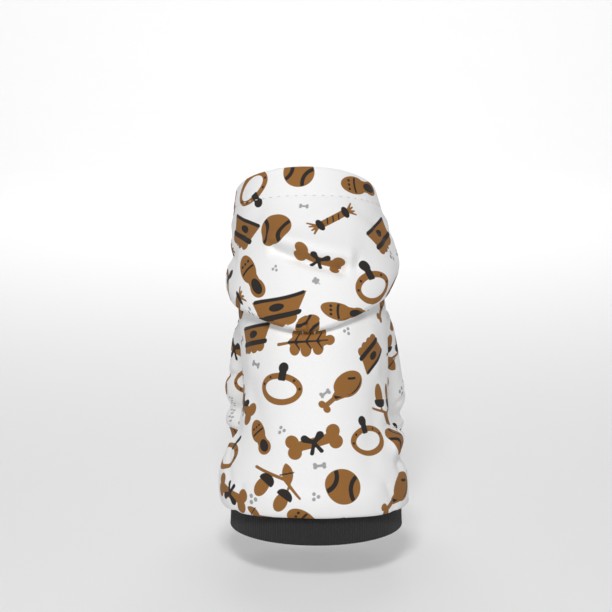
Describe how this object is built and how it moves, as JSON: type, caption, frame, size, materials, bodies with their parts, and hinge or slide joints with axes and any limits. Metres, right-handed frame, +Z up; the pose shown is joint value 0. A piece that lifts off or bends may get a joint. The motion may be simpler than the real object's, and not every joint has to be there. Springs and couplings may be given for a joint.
{
  "type": "dog hoodie",
  "caption": "Pet hoodie of printed sweatshirt cloth in its worn form, with a hood pushed back into a pouch, foreleg sleeves and a dark rib band round the bottom.",
  "frame": {"origin": "middle of the neck opening, on the neckline seam", "axes": "+Z up, +Y towards the back of the garment, +X towards its own left side"},
  "size_m": [0.2141, 0.3081, 0.3878],
  "materials": {
    "printed_cloth": "white brushed polyester sweatshirt knit with a brown, black and grey print",
    "rib_knit": "charcoal black rib knit"
  },
  "bodies": {
    "root": {"body": "printed_cloth", "hood": "printed_cloth", "sleeve_left": "printed_cloth", "sleeve_right": "printed_cloth", "hem_band": "rib_knit"}
  },
  "joints": []
}
